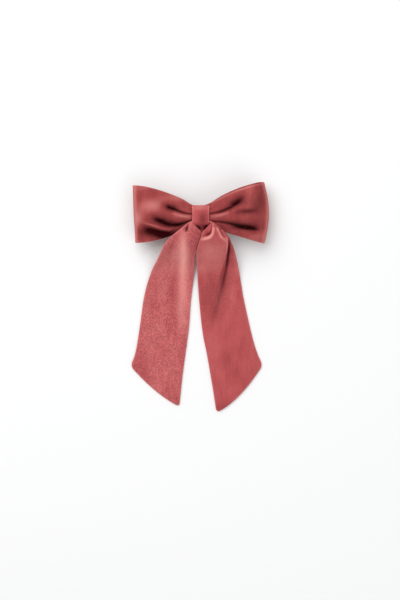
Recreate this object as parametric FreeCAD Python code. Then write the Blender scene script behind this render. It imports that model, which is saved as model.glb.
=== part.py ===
import FreeCAD, Part
import math
import os

# A velvet bow with two long tails on an automatic (French) barrette clip, in millimetres.
# +X runs across the bow, +Y towards its top edge and +Z out of its front.
# Heights are built up from the table that the barrette lies on, face up. The finished solids
# are lowered together, so that the origin is the centre of the gap that holds the hair.

# ---- clip: base plate ----
plate_half_length = 37.0
plate_width = 9.0
plate_thickness = 0.8
tab_length = 9.0            # flat part of the plate beyond each end of its arch
arch_rise = 4.6
tab_height = 8.8            # table to the underside of the plate's flat end tabs
sewing_hole_inset = 2.0     # from the plate's end
sewing_hole_radius = 0.75

# ---- clip: hinge ----
hinge_inset = 6.0           # from the plate's end, and the same for the catch
pin_radius = 0.75
pin_head_radius = 1.15
pin_head_thickness = 0.5
running_clearance = 0.05
pressed_clearance = 0.01
knuckle_radius = 1.6
ear_thickness = 0.8
ear_foot_half_width = 2.4
ear_round_radius = 1.5
knuckle_side_clearance = 0.2

# ---- clip: arm ----
arm_width = 5.5
arm_thickness = 0.9
arm_sink = 0.55             # how deep the strip runs into the knuckle
arm_mid_height = 3.0        # table to the arm's underside at the top of its arch
frame_height = 1.9          # table to the underside of the catch frame
frame_width = 9.2
frame_rail = 1.6
window_end_clearance = 0.4
window_side_clearance = 0.2
lip_length = 1.9
lip_foot = 0.9

# ---- clip: catch ----
prong_length_x = 4.0
prong_thickness = 0.6
prong_half_gap = 2.3        # middle of the clip to a prong's inner face
prong_tip_height = 0.5
barb_reach = 0.7
barb_gap = 0.1
pad_reach = 1.8
pad_height = 2.4
pad_drop = 0.6              # the prong's turning line to the pad's top
pad_slope = 0.25            # share of the pad's height that each slanted face takes
saddle_thickness = 0.6
prong_joint_gap = 0.03

# ---- clip: leaf spring and rivets ----
spring_width = 5.0
spring_thickness = 0.35
spring_mid_height = 8.7     # table to the spring's underside at mid length
spring_free_inset = 3.0     # the end of the arch to the spring's free end
spring_end_gap = 0.05
rivet_radius = 0.8
rivet_head_radius = 1.5
rivet_head_thickness = 0.5

# ---- bow: felt, loops and waist ----
felt_inset = 1.0            # the end of the arch to the end of the felt
felt_width = 10.0
felt_thickness = 0.8
glue_gap = 0.02
loop_wall = 1.6
loop_reach_left = 54.4
loop_reach_right = 53.6
loop_top_left = 24.0
loop_top_right = 27.2
loop_bottom = -22.8
loop_crest_rise = 3.78      # the waist's front to the loops' highest line
fold_drop = 3.82            # the waist's back to the middle of a loop's outer fold
fold_turn = 4.5             # the fold to where it reaches its full thickness
fold_back_depth = 3.3
fold_front_depth = 4.0
fold_inset_share = 0.8      # share of the ribbon's thickness that shows at the turn
back_line = [(0.40, 1.8), (0.68, 4.9)]      # share of the reach, drop below the waist's back
front_line = [(0.66, 1.6), (0.42, 0.0)]     # share of the reach, drop below the crest
top_line_left = [(0.691, 2.4), (0.412, 7.2)]        # share of the reach, drop below the corner
top_line_right = [(0.418, 8.2), (0.716, 3.2)]
bottom_line_right = [(0.634, 3.3), (0.373, 8.8)]    # share of the reach, rise above the corner
bottom_line_left = [(0.368, 8.3), (0.662, 1.8)]
plan_overrun = 1.0
cutter = 5.0                # how far a cutting prism reaches past the loops
waist_half_length = 7.0
waist_low_y = -8.4
waist_high_y = 5.6
waist_thickness = 5.6
waist_stack_gap = 0.6       # felt to the gathered waist, taken up by the winding thread
hollow_start = 12.0
roof_overrun = 6.0
roof_low_drop = 5.4         # the crest to the front layer at the loops' lower edge
roof_waist_drop = 2.1       # the same just inside the waist's lower edge
roof_waist_inset = 3.0
roof_high_drop = 4.5        # the same at the loops' top edge
tail_bed_gap = 0.8          # the front layer to the tails that lie on it
tail_bed_length = 9.0
tail_bed_fall = 1.5

# ---- bow: knot band ----
band_width = 14.0
band_wall = 1.2
band_corner_radius = 3.2
band_clearance = 0.5
band_low_clearance = 0.6    # at the lower edge, where the tails' gathers pass
band_head_room = 2.0        # waist to the band's front layer, filled by the tails' gathers

# ---- bow: thread ----
thread = 0.4
winding_turns = 5
winding_pitch = 0.55
stitch_count = 6
stitch_length = 2.0
stitch_pitch = 1.9
tack_x = (2.6, 4.4)         # the middle of the bow to each bar tack
tack_inset = 2.2            # the waist's lower edge to the tacks

# ---- bow: tails ----
tail_thickness = 2.0
tail_root_gap = 0.4         # knot band to the tails' rounded root ends
tail_root_drop = 0.62       # the waist's front to the line the tails fold up about
tail_touch_y = -54.0        # where the tails' draped part meets the table
tail_corner_radius = 3.0
tail_end_y = -165.0
tail_side_x = 70.0
under_shoulder = [(6.5, 1.1), (14.5, 4.2)]      # distance below the root, drop below it
over_shoulder = [(6.9, 1.2), (15.6, 4.4)]
under_foot = [(17.0, 5.6), (7.0, 0.9)]          # distance above the touch line, height
over_foot = [(15.8, 5.3), (6.6, 0.9)]           # the same, height less the tail's thickness
left_outer_edge = [(-27.5, -16.5), (-34.8, -35), (-43.0, -55), (-48.2, -78), (-51.8, -103),
                   (-57.0, -121.5)]
left_inner_edge = [(-0.9, -14.6), (-4.0, -30), (-5.0, -48), (-8.6, -80), (-12.2, -112), (-17.6, -155.5)]
right_outer_edge = [(22.4, -16.5), (28.2, -34), (32.4, -55), (37.8, -82), (43.4, -106), (49.8, -120.5)]
right_inner_edge = [(0.4, -14.6), (-3.2, -30), (-2.4, -50), (1.4, -95), (7.2, -127), (12.6, -161.0)]
left_root = (-13.5, -3.4)                       # outer and inner corner of the gathered top
right_root = (14.0, 3.4)

# ---- values that follow from the sizes above ----
arch_half_span = plate_half_length - tab_length
sewing_hole_x = plate_half_length - sewing_hole_inset
hinge_x = hinge_inset - plate_half_length
catch_x = plate_half_length - hinge_inset
spring_free_x = arch_half_span - spring_free_inset
felt_half_length = arch_half_span - felt_inset
plate_top = tab_height + plate_thickness
arch_top = plate_top + arch_rise
ear_outer_y = plate_width / 2
ear_inner_y = ear_outer_y - ear_thickness
knuckle_half_length = ear_inner_y - knuckle_side_clearance
pin_height = knuckle_radius
frame_top = frame_height + arm_thickness
window_half_x = prong_length_x / 2 + window_end_clearance
window_half_y = prong_half_gap + prong_thickness + window_side_clearance
frame_half_x = window_half_x + frame_rail
prong_axis_y = prong_half_gap + prong_thickness / 2
prong_axis_height = tab_height - saddle_thickness - prong_joint_gap - prong_thickness / 2
felt_top = arch_top + glue_gap + felt_thickness
waist_bottom = felt_top + waist_stack_gap
waist_top = waist_bottom + waist_thickness
loop_crest_height = waist_top + loop_crest_rise
fold_height = waist_bottom - fold_drop
band_inner_low_y = waist_low_y - band_low_clearance
band_inner_high_y = waist_high_y + band_clearance
band_inner_bottom = tab_height + arch_rise - band_clearance
band_inner_top = waist_top + band_head_room
band_low_y = band_inner_low_y - band_wall
tail_half = tail_thickness / 2
tail_root_y = band_low_y - tail_root_gap - tail_half
tail_root_height = waist_top - tail_root_drop
tail_under_root = tail_root_height - tail_half
tail_over_root = tail_root_height + tail_half
grip_centre_height = (arm_mid_height + arm_thickness + spring_mid_height) / 2


def at(x, y, z):
    return FreeCAD.Vector(x, y, z)


def box(x0, x1, y0, y1, z0, z1):
    return Part.makeBox(x1 - x0, y1 - y0, z1 - z0, at(x0, y0, z0))


def line(a, b):
    return Part.LineSegment(a, b).toShape()


def arc(a, middle, b):
    return Part.Arc(a, middle, b).toShape()


def curve(points, start=None, end=None):
    """A smooth line through the points. start and end are the directions it leaves and arrives in."""
    spline = Part.BSplineCurve()
    if start and end:
        spline.interpolate(Points=points, InitialTangent=start, FinalTangent=end)
    else:
        spline.interpolate(points)
    return spline.toShape()


def prism(edges, direction):
    """A solid swept straight along direction from the closed outline."""
    return Part.Face(Part.Wire(edges)).extrude(direction)


def polygon_prism(points, direction):
    return Part.Face(Part.makePolygon(points + [points[0]])).extrude(direction)


def pin_along_y(radius, y0, y1, x, z):
    return Part.makeCylinder(radius, y1 - y0, at(x, y0, z), at(0, 1, 0))


def arched_strip(half_span, half_length, underside, thickness, width):
    """A strip with flat ends and an arched middle, as thick everywhere measured straight up."""
    y = -width / 2
    crown = underside + arch_rise
    over = underside + thickness
    edges = [line(at(-half_length, y, underside), at(-half_length, y, over))]
    if half_length > half_span:
        edges.append(line(at(-half_length, y, over), at(-half_span, y, over)))
    edges.append(arc(at(-half_span, y, over), at(0, y, crown + thickness), at(half_span, y, over)))
    if half_length > half_span:
        edges.append(line(at(half_span, y, over), at(half_length, y, over)))
    edges.append(line(at(half_length, y, over), at(half_length, y, underside)))
    if half_length > half_span:
        edges.append(line(at(half_length, y, underside), at(half_span, y, underside)))
    edges.append(arc(at(half_span, y, underside), at(0, y, crown), at(-half_span, y, underside)))
    if half_length > half_span:
        edges.append(line(at(-half_span, y, underside), at(-half_length, y, underside)))
    return prism(edges, at(0, width, 0))


def round_ends(half_length, width):
    """The plan of a strip with half-round ends, as a tall prism to cut a strip with."""
    r = width / 2
    x = half_length - r
    edges = [
        line(at(-x, -r, 0), at(x, -r, 0)),
        arc(at(x, -r, 0), at(half_length, 0, 0), at(x, r, 0)),
        line(at(x, r, 0), at(-x, r, 0)),
        arc(at(-x, r, 0), at(-half_length, 0, 0), at(-x, -r, 0)),
    ]
    return prism(edges, at(0, 0, arch_top + plate_thickness))


# ---- the clip ----
def hinge_ear(y0):
    foot = polygon_prism([
        at(hinge_x - ear_foot_half_width, y0, tab_height),
        at(hinge_x + ear_foot_half_width, y0, tab_height),
        at(hinge_x + ear_round_radius, y0, pin_height),
        at(hinge_x - ear_round_radius, y0, pin_height),
    ], at(0, ear_thickness, 0))
    round_end = pin_along_y(ear_round_radius, y0, y0 + ear_thickness, hinge_x, pin_height)
    return foot.fuse(round_end)


def base_plate():
    strip = arched_strip(arch_half_span, plate_half_length, tab_height, plate_thickness, plate_width)
    plate = strip.common(round_ends(plate_half_length, plate_width))
    plate = plate.fuse([hinge_ear(-ear_outer_y), hinge_ear(ear_inner_y)]).removeSplitter()
    cuts = [pin_along_y(pin_radius + pressed_clearance, -plate_width, plate_width, hinge_x, pin_height)]
    for side in (-1, 1):
        place = at(side * sewing_hole_x, 0, tab_height - 1)
        cuts.append(Part.makeCylinder(sewing_hole_radius, plate_thickness + 2, place))
    for x in (hinge_x, catch_x):
        place = at(x, 0, tab_height - 1)
        cuts.append(Part.makeCylinder(rivet_radius + pressed_clearance, plate_thickness + 2, place))
    return plate.cut(cuts)


def hinge_pin():
    end = ear_outer_y + pin_head_thickness
    shaft = pin_along_y(pin_radius, -end, end, hinge_x, pin_height)
    heads = [
        pin_along_y(pin_head_radius, -end, -ear_outer_y, hinge_x, pin_height),
        pin_along_y(pin_head_radius, ear_outer_y, end, hinge_x, pin_height),
    ]
    return shaft.fuse(heads).removeSplitter()


def clasp_arm():
    start_x = hinge_x + knuckle_radius - arm_sink
    half_t = arm_thickness / 2
    frame_start = catch_x - frame_half_x
    frame_end = catch_x + frame_half_x
    y = -arm_width / 2
    under = arc(
        at(start_x, y, pin_height - half_t),
        at((hinge_x + catch_x) / 2, y, arm_mid_height),
        at(frame_start, y, frame_height),
    )
    up = at(0, 0, arm_thickness)
    over = under.copy()
    over.translate(up)
    strip = prism([
        under,
        line(at(frame_start, y, frame_height), at(frame_start, y, frame_top)),
        over,
        line(at(start_x, y, pin_height + half_t), at(start_x, y, pin_height - half_t)),
    ], at(0, arm_width, 0))
    frame = box(frame_start, frame_end, -frame_width / 2, frame_width / 2, frame_height, frame_top)
    window = box(catch_x - window_half_x, catch_x + window_half_x, -window_half_y, window_half_y,
                 0, frame_top + 1)
    lip = polygon_prism([
        at(frame_end - lip_foot, y, frame_height),
        at(frame_end - lip_foot, y, frame_top),
        at(frame_end, y, frame_top),
        at(frame_end + lip_length, y, 0),
        at(frame_end + lip_length - lip_foot, y, 0),
    ], at(0, arm_width, 0))
    knuckle = pin_along_y(knuckle_radius, -knuckle_half_length, knuckle_half_length,
                          hinge_x, pin_height)
    bore = pin_along_y(pin_radius + running_clearance, -plate_width, plate_width,
                       hinge_x, pin_height)
    return strip.fuse([frame, lip, knuckle]).removeSplitter().cut([window, bore])


def tension_spring():
    """A leaf riveted flat under the hinge tab; its other end lies free against the plate."""
    y = -spring_width / 2
    tab_end = -arch_half_span
    fixed_end = hinge_x - ear_foot_half_width
    low = tab_height - spring_thickness
    arch_radius = (arch_half_span ** 2 + arch_rise ** 2) / (2 * arch_rise)
    drop = arch_radius - math.sqrt(arch_radius ** 2 - spring_free_x ** 2)
    free_low = tab_height + arch_rise - drop - spring_end_gap - spring_thickness
    under = arc(at(tab_end, y, low), at(0, y, spring_mid_height), at(spring_free_x, y, free_low))
    over = under.copy()
    over.translate(at(0, 0, spring_thickness))
    leaf = prism([
        line(at(fixed_end, y, low), at(tab_end, y, low)),
        under,
        line(at(spring_free_x, y, free_low), at(spring_free_x, y, free_low + spring_thickness)),
        over,
        line(at(tab_end, y, tab_height), at(fixed_end, y, tab_height)),
        line(at(fixed_end, y, tab_height), at(fixed_end, y, low)),
    ], at(0, spring_width, 0))
    hole = Part.makeCylinder(rivet_radius + pressed_clearance, 2, at(hinge_x, 0, low - 1))
    return leaf.cut(hole)


def rivet(x, lower_face):
    shank = Part.makeCylinder(rivet_radius, plate_top - lower_face, at(x, 0, lower_face))
    lower = Part.makeCylinder(rivet_head_radius, rivet_head_thickness,
                              at(x, 0, lower_face - rivet_head_thickness))
    upper = Part.makeCylinder(rivet_head_radius, rivet_head_thickness, at(x, 0, plate_top))
    return shank.fuse([lower, upper]).removeSplitter()


def rivets():
    return Part.makeCompound([
        rivet(hinge_x, tab_height - spring_thickness),
        rivet(catch_x, tab_height - saddle_thickness),
    ])


def catch_saddle():
    half_y = prong_half_gap + prong_thickness + prong_joint_gap
    plate = box(catch_x - prong_length_x / 2, catch_x + prong_length_x / 2, -half_y, half_y,
                tab_height - saddle_thickness, tab_height)
    hole = Part.makeCylinder(rivet_radius + pressed_clearance, 2, at(catch_x, 0, tab_height - 1))
    return plate.cut(hole)


def catch_prong(side):
    """One finger of the catch: round top, pinch pad, stem and a barb under the arm's frame."""
    x0 = catch_x - prong_length_x / 2
    run = at(prong_length_x, 0, 0)
    inner = side * prong_half_gap
    outer = side * (prong_half_gap + prong_thickness)
    barb_top = frame_height - barb_gap
    stem = polygon_prism([
        at(x0, inner, prong_tip_height),
        at(x0, inner, prong_axis_height),
        at(x0, outer, prong_axis_height),
        at(x0, outer, prong_tip_height),
    ], run)
    barb = polygon_prism([
        at(x0, outer, prong_tip_height),
        at(x0, outer, barb_top),
        at(x0, outer + side * barb_reach, barb_top),
    ], run)
    pad_low = prong_axis_height - pad_drop - pad_height
    pad = polygon_prism([
        at(x0, outer, pad_low),
        at(x0, outer, pad_low + pad_height),
        at(x0, outer + side * pad_reach, pad_low + pad_height * (1 - pad_slope)),
        at(x0, outer + side * pad_reach, pad_low + pad_height * pad_slope),
    ], run)
    top = Part.makeCylinder(prong_thickness / 2, prong_length_x,
                            at(x0, side * prong_axis_y, prong_axis_height), at(1, 0, 0))
    return stem.fuse([barb, pad, top]).removeSplitter()


# ---- the bow ----
def felt_pad():
    strip = arched_strip(arch_half_span, arch_half_span, plate_top + glue_gap, felt_thickness, felt_width)
    return strip.common(round_ends(felt_half_length, felt_width))


def loop_section(side, reach, inset):
    """Half of the bow seen from below its lower edge, from the waist to the outer fold.

    inset moves the line inwards by the ribbon's thickness, for the hollow inside the loop.
    """
    y = loop_bottom - cutter
    fold = reach - inset
    turn = at(side * fold, y, fold_height)
    shoulder = side * (fold - fold_turn)
    turn_inset = inset * fold_inset_share
    low = [at(side * waist_half_length, y, waist_bottom)]
    low += [at(side * reach * share, y, waist_bottom - drop + inset) for share, drop in back_line]
    low += [at(shoulder, y, fold_height - fold_back_depth + turn_inset), turn]
    high = [turn, at(shoulder, y, fold_height + fold_front_depth - turn_inset)]
    high += [at(side * reach * share, y, loop_crest_height - drop - inset) for share, drop in front_line]
    high += [at(side * waist_half_length, y, waist_top)]
    if inset:
        low[0] = at(side * hollow_start, y, waist_bottom + waist_thickness / 2)
        high[-1] = low[0]
        edges = [curve(low), curve(high)]
    else:
        edges = [
            line(at(0, y, waist_bottom), low[0]),
            curve(low),
            curve(high),
            line(high[-1], at(0, y, waist_top)),
            line(at(0, y, waist_top), at(0, y, waist_bottom)),
        ]
    return prism(edges, at(0, loop_top_right - loop_bottom + 2 * cutter, 0))


def loop_roof(inset):
    """A prism under the line that the loops' front layer follows from lower edge to top edge."""
    x = -loop_reach_left - cutter
    low_y = loop_bottom - roof_overrun
    high_y = loop_top_right + roof_overrun
    tail_bed = tail_under_root - tail_bed_gap
    heights = [
        (low_y, loop_crest_height - roof_low_drop),
        (tail_root_y - tail_bed_length, tail_bed - tail_bed_fall),
        (tail_root_y, tail_bed),
        (waist_low_y + roof_waist_inset, loop_crest_height - roof_waist_drop),
        (waist_high_y, loop_crest_height),
        (high_y, loop_crest_height - roof_high_drop),
    ]
    roof = [at(x, y, height - inset) for y, height in heights]
    edges = [
        curve(roof),
        line(roof[-1], at(x, high_y, 0)),
        line(at(x, high_y, 0), at(x, low_y, 0)),
        line(at(x, low_y, 0), roof[0]),
    ]
    return prism(edges, at(2 * (loop_reach_left + cutter), 0, 0))


def loop_plan():
    """The bow's outline from the front, a little long at the folds."""
    left, right = -loop_reach_left, loop_reach_right
    out_left, out_right = left - plan_overrun, right + plan_overrun
    waist_corners = {
        name: at(x, y, 0)
        for name, x, y in (
            ("top left", -waist_half_length, waist_high_y), ("top right", waist_half_length, waist_high_y),
            ("low left", -waist_half_length, waist_low_y), ("low right", waist_half_length, waist_low_y),
        )
    }
    top_left, top_right = at(out_left, loop_top_left, 0), at(out_right, loop_top_right, 0)
    low_left, low_right = at(out_left, loop_bottom, 0), at(out_right, loop_bottom, 0)

    def between(reach, corner_y, turn, routes):
        return [at(reach * share, corner_y + turn * step, 0) for share, step in routes]

    edges = [
        curve([top_left] + between(left, loop_top_left, -1, top_line_left) + [waist_corners["top left"]]),
        line(waist_corners["top left"], waist_corners["top right"]),
        curve([waist_corners["top right"]] + between(right, loop_top_right, -1, top_line_right)
              + [top_right]),
        line(top_right, low_right),
        curve([low_right] + between(right, loop_bottom, 1, bottom_line_right) + [waist_corners["low right"]]),
        line(waist_corners["low right"], waist_corners["low left"]),
        curve([waist_corners["low left"]] + between(left, loop_bottom, 1, bottom_line_left) + [low_left]),
        line(low_left, top_left),
    ]
    return prism(edges, at(0, 0, loop_crest_height + cutter))


def bow_loops():
    """One ribbon ring, flattened and gathered at the waist, with a hollow loop on each side."""
    halves = [loop_section(-1, loop_reach_left, 0), loop_section(1, loop_reach_right, 0)]
    skin = halves[0].fuse(halves[1]).removeSplitter()
    body = skin.common(loop_roof(0)).common(loop_plan())
    for side, reach in ((-1, loop_reach_left), (1, loop_reach_right)):
        hollow = loop_section(side, reach, loop_wall)
        body = body.cut(hollow.common(loop_roof(loop_wall)))
    return body


def ring_along_x(y0, y1, z0, z1, radius, wall, x0, x1):
    """A rounded-rectangle ring round the X direction, wall thick outside the given opening."""
    outer = box(x0, x1, y0 - wall, y1 + wall, z0 - wall, z1 + wall)
    inner = box(x0 - 1, x1 + 1, y0, y1, z0, z1)
    outer = outer.makeFillet(radius + wall, long_edges(outer))
    inner = inner.makeFillet(radius, long_edges(inner))
    return outer.cut(inner)


def long_edges(block):
    return [edge for edge in block.Edges if abs(edge.tangentAt(edge.FirstParameter).x) > 0.9]


def knot_band():
    return ring_along_x(band_inner_low_y, band_inner_high_y, band_inner_bottom, band_inner_top,
                        band_corner_radius - band_wall, band_wall, -band_width / 2, band_width / 2)


def waist_thread():
    turns = []
    for turn in range(winding_turns):
        x = (turn - (winding_turns - 1) / 2) * winding_pitch
        turns.append(ring_along_x(waist_low_y - glue_gap, waist_high_y + glue_gap,
                                  waist_bottom - glue_gap, waist_top + glue_gap,
                                  glue_gap * 2, thread, x - thread / 2, x + thread / 2))
    return Part.makeCompound(turns)


def stitch(x, y, z):
    """One short stitch of thread along Y, with rounded ends."""
    half = stitch_length / 2
    bar = Part.makeCylinder(thread / 2, stitch_length, at(x, y - half, z), at(0, 1, 0))
    ends = [Part.makeSphere(thread / 2, at(x, y + end, z)) for end in (-half, half)]
    return bar.fuse(ends).removeSplitter()


def band_stitches():
    """The whip stitches that close the band behind the base plate."""
    height = band_inner_bottom - band_wall - thread / 2 - glue_gap
    first = -(stitch_count - 1) / 2 * stitch_pitch
    return Part.makeCompound([stitch(first + i * stitch_pitch, 0, height) for i in range(stitch_count)])


def tail_stitches():
    """The bar tacks that hold the tails' gathered tops to the waist, under the band."""
    height = waist_top + thread * 1.5 + glue_gap * 3
    places = [side * x for side in (-1, 1) for x in tack_x]
    return Part.makeCompound([stitch(x, waist_low_y + tack_inset, height) for x in places])


def tail_drape():
    """The tails' side view: round root, over the loops, down to the table and flat along it."""
    x = -tail_side_x
    under = [at(x, tail_root_y, tail_under_root)]
    under += [at(x, tail_root_y - run, tail_under_root - drop) for run, drop in under_shoulder]
    under += [at(x, tail_touch_y + run, height) for run, height in under_foot]
    under += [at(x, tail_touch_y, 0)]
    over = [at(x, tail_root_y, tail_over_root)]
    over += [at(x, tail_root_y - run, tail_over_root - drop) for run, drop in over_shoulder]
    over += [at(x, tail_touch_y + run, tail_thickness + height) for run, height in over_foot]
    over += [at(x, tail_touch_y, tail_thickness)]
    down, up = at(0, -1, 0), at(0, 1, 0)
    edges = [
        curve(under, down, down),
        line(under[-1], at(x, tail_end_y, 0)),
        line(at(x, tail_end_y, 0), at(x, tail_end_y, tail_thickness)),
        line(at(x, tail_end_y, tail_thickness), over[-1]),
        curve(list(reversed(over)), up, up),
        arc(over[0], at(x, tail_root_y + tail_half, tail_root_height), under[0]),
    ]
    return prism(edges, at(2 * tail_side_x, 0, 0))


def tail(outer_edge, inner_edge, root):
    """A draped tail. Each edge runs from its shoulder to its corner at the slanted end."""
    top_y = tail_root_y + tail_thickness
    root_outer, root_inner = root
    outer = [at(x, y, 0) for x, y in outer_edge]
    inner = [at(x, y, 0) for x, y in inner_edge]
    edges = [
        line(at(root_inner, top_y, 0), at(root_outer, top_y, 0)),
        line(at(root_outer, top_y, 0), outer[0]),
        curve(outer),
        line(outer[-1], inner[-1]),
        curve(list(reversed(inner))),
        line(inner[0], at(root_inner, top_y, 0)),
    ]
    plan = prism(edges, at(0, 0, tail_root_height + 2 * cutter))
    plan.translate(at(0, 0, -cutter))
    ribbon = tail_drape().common(plan)
    corners = [
        edge for edge in ribbon.Edges
        if edge.Vertexes[0].Y < tail_touch_y and abs(edge.tangentAt(edge.FirstParameter).z) > 0.9
    ]
    return ribbon.makeFillet(tail_corner_radius, corners)


def tail_left():
    return tail(left_outer_edge, left_inner_edge, left_root)


def tail_right():
    return tail(right_outer_edge, right_inner_edge, right_root)


nodes = {
    "base_plate": base_plate,
    "hinge_pin": hinge_pin,
    "clasp_arm": clasp_arm,
    "tension_spring": tension_spring,
    "rivets": rivets,
    "catch_saddle": catch_saddle,
    "catch_prong_front": lambda: catch_prong(-1),
    "catch_prong_back": lambda: catch_prong(1),
    "felt_pad": felt_pad,
    "bow_loops": bow_loops,
    "waist_thread": waist_thread,
    "knot_band": knot_band,
    "band_stitches": band_stitches,
    "tail_left": tail_left,
    "tail_right": tail_right,
    "tail_stitches": tail_stitches,
}

os.makedirs("parts", exist_ok=True)
for name, make in nodes.items():
    shape = make()
    shape.translate(at(0, 0, -grip_centre_height))
    shape.exportStep("parts/" + name + ".step")
    size = shape.BoundBox
    print(f"{name}: solids {len(shape.Solids)}, valid {shape.isValid()}, volume {shape.Volume:.1f}, "
          f"x {size.XMin:.1f}..{size.XMax:.1f} y {size.YMin:.1f}..{size.YMax:.1f} "
          f"z {size.ZMin:.1f}..{size.ZMax:.1f}")
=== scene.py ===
# %% [markdown]
# # A velvet bow on an automatic barrette clip
# A bow like this is three pieces of velvet round a spring clip: a ribbon ring gathered at its
# waist, two bagged-out tails, and a band that wraps the gathers and the clip's base plate.
# The clip's metal comes from the imported model and only gets its finishes here. The cloth is
# made in this file, each piece as a pressed tube of velvet round a middle surface. A cloth
# simulation is the other way to make it; here the folds are shaped by listed curves.

# %% Load the frame
import bpy
import math
import numpy as np
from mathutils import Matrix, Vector


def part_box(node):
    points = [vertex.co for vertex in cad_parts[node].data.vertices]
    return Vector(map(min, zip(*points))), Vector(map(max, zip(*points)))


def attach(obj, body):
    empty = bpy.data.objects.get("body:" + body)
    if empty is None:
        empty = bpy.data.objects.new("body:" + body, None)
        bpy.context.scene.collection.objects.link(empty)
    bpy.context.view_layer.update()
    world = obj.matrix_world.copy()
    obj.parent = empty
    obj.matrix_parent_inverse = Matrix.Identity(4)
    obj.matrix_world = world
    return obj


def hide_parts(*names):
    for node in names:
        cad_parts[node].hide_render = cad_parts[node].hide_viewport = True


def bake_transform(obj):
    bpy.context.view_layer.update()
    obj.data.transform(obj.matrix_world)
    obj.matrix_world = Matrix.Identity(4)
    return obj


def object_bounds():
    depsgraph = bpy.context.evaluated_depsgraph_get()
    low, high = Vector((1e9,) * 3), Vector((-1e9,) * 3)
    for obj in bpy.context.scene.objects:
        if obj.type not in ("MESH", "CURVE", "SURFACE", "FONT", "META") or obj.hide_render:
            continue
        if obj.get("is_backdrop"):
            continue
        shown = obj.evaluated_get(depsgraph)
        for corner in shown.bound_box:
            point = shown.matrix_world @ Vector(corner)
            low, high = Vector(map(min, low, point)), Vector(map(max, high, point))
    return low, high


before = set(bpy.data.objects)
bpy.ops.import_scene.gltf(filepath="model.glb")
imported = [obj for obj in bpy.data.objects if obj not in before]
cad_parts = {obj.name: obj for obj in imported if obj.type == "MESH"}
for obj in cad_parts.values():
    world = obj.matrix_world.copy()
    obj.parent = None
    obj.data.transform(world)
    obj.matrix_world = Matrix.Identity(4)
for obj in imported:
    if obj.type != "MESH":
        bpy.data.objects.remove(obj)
cad_low, cad_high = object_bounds()
scene = bpy.context.scene
scene.view_settings.view_transform = "Standard"

MM = 0.001
table = cad_low.z / MM
print(f"table at {table:.2f} mm, box {(cad_high - cad_low) / MM}")

# %% [markdown]
# ## Helpers for curves
# A sewn edge is never a straight line, so every outline and every side view here is a smooth
# curve through a few chosen points. `trace` samples such a curve at equal shares of its length,
# `height_over` reads it as a graph, and `ease` fades one state into another.


# %% Curve helpers
def trace(points, shares):
    """Points at the given shares of the length of a smooth curve through the points."""
    p = np.array(points, float)
    spans = len(p) - 1
    fine = np.linspace(0, spans, spans * 30 + 1)
    i = np.minimum(fine.astype(int), spans - 1)
    f = (fine - i)[:, None]
    ends = np.vstack([2 * p[0] - p[1], p, 2 * p[-1] - p[-2]])
    a, b, c, d = ends[i], ends[i + 1], ends[i + 2], ends[i + 3]
    line = b + 0.5 * ((c - a) * f + (2 * a - 5 * b + 4 * c - d) * f**2 + (3 * b - a - 3 * c + d) * f**3)
    run = np.concatenate([[0], np.cumsum(np.linalg.norm(np.diff(line, axis=0), axis=1))])
    want = np.asarray(shares) * run[-1]
    return np.column_stack([np.interp(want, run, line[:, k]) for k in range(p.shape[1])])


def height_over(points, x):
    """The smooth curve through the points, read as a height over x. The points rise in x."""
    line = trace(points, np.linspace(0, 1, 200))
    return np.interp(x, line[:, 0], line[:, 1])


def ease(low, high, x):
    """Rises smoothly from 0 at low to 1 at high."""
    t = np.clip((x - low) / (high - low), 0, 1)
    return t * t * (3 - 2 * t)


def mix(a, b, t):
    return a + (b - a) * t


print(f"half way up a rise from 0 to 10: {ease(0, 10, 5):.2f}")


# %% [markdown]
# ## Measures of a surface
# A cloth's middle surface is held as rows of points along it and columns across. These helpers
# measure it: how far a point is from an edge, and which way the surface faces. `stops` crowds the
# columns at the edges, where the cloth turns, so that the turn stays round.


# %% Surface measures
def deselect_all():
    bpy.ops.object.select_all(action="DESELECT")


def stops(count, edge):
    """Shares from 0 to 1, close together within the given share of each end."""
    turn = np.linspace(0, math.pi / 2, 5)
    return np.concatenate([
        edge * (1 - np.cos(turn)),
        np.linspace(edge, 1 - edge, count)[1:-1],
        1 - edge * (1 - np.cos(turn[::-1])),
    ])


def unit(v):
    return v / np.maximum(np.linalg.norm(v, axis=-1, keepdims=True), 1e-9)


def normals_of(middle, ring):
    if ring:
        rows = np.roll(middle[:-1], -1, axis=0) - np.roll(middle[:-1], 1, axis=0)
        rows = np.concatenate([rows, rows[:1]])
    else:
        rows = np.gradient(middle, axis=0)
    across = np.gradient(middle, axis=1)
    return unit(np.cross(across, rows))


def run_along(middle, axis):
    """The length travelled along the rows (axis 0) or across the columns (axis 1)."""
    step = np.linalg.norm(np.diff(middle, axis=axis), axis=2)
    first = np.zeros_like(np.take(step, [0], axis=axis))
    return np.cumsum(np.concatenate([first, step], axis=axis), axis=axis)


print("stops across a narrow cloth:", stops(4, 0.1).round(3))

# %% [markdown]
# ## A pressed tube
# A bagged-out ribbon is sewn inside out and turned, so it is a flat tube with soft round edges.
# It could be a plane with a Solidify modifier, but that leaves square rims. Instead a grid is
# wrapped once round a middle surface, and its two layers come together in a half circle at each
# edge. The grid's own points are moved, and then its meeting edges are merged.


# %% Wrap a grid
# Strength of the painted shading, and the painted highlight along each edge and its width in mm.
painted_shading_gain = 1.3
painted_rim_highlight = 0.42
rim_width = 0.5


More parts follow.
